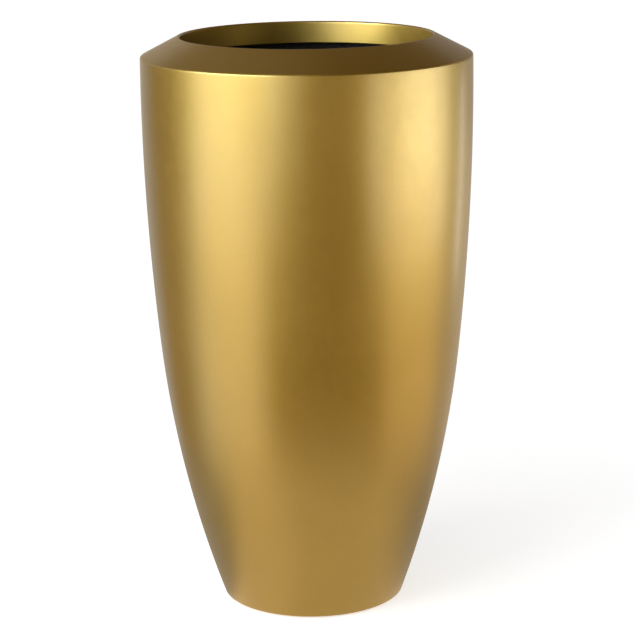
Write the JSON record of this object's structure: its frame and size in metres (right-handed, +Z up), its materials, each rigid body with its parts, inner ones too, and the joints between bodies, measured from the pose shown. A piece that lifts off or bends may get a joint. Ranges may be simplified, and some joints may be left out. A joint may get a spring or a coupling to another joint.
{
  "type": "fibreglass barrel planter",
  "caption": "Tall tapered round floor planter in gold-lacquered glass-fibre laminate, with a bevelled rim, a return lip, a stiffened floor, plugged drain holes and rubber feet.",
  "frame": {"origin": "on the floor under the feet, on the barrel's axis", "axes": "+Z up along the barrel's axis, -Y towards the picture's viewer, +X to the viewer's right"},
  "size_m": [0.514, 0.5138, 0.9],
  "materials": {
    "gold_lacquer": "satin gold metallic lacquer on glass-fibre laminate",
    "bonding_paste": "dark filled bonding paste, troweled",
    "plywood": "plain birch plywood, sealed in",
    "black_laminate": "black pigmented laminate, rough glass-mat side",
    "black_nylon": "black moulded nylon",
    "plug_rubber": "black moulded rubber",
    "foot_rubber": "dark grey moulded rubber",
    "zinc_screw": "zinc-plated steel"
  },
  "bodies": {
    "planter": {"body_shell": "gold_lacquer", "rim_collar": "gold_lacquer", "rim_bond_bead": "bonding_paste", "floor_core": "plywood", "floor_cover": "black_laminate", "drain_bush_1": "black_nylon", "drain_bush_2": "black_nylon", "drain_bush_3": "black_nylon", "foot_1": "foot_rubber", "foot_2": "foot_rubber", "foot_3": "foot_rubber", "foot_4": "foot_rubber", "foot_screws": "zinc_screw"},
    "drain_plug_1": {"drain_plug_1": "plug_rubber"},
    "drain_plug_2": {"drain_plug_2": "plug_rubber"},
    "drain_plug_3": {"drain_plug_3": "plug_rubber"}
  },
  "joints": [
    {"name": "drain_plug_1_pull", "type": "slide", "parent": "planter", "child": "drain_plug_1", "axis": [0, 0, 1], "range_m": [0, 0.05]},
    {"name": "drain_plug_2_pull", "type": "slide", "parent": "planter", "child": "drain_plug_2", "axis": [0, 0, 1], "range_m": [0, 0.05]},
    {"name": "drain_plug_3_pull", "type": "slide", "parent": "planter", "child": "drain_plug_3", "axis": [0, 0, 1], "range_m": [0, 0.05]}
  ]
}
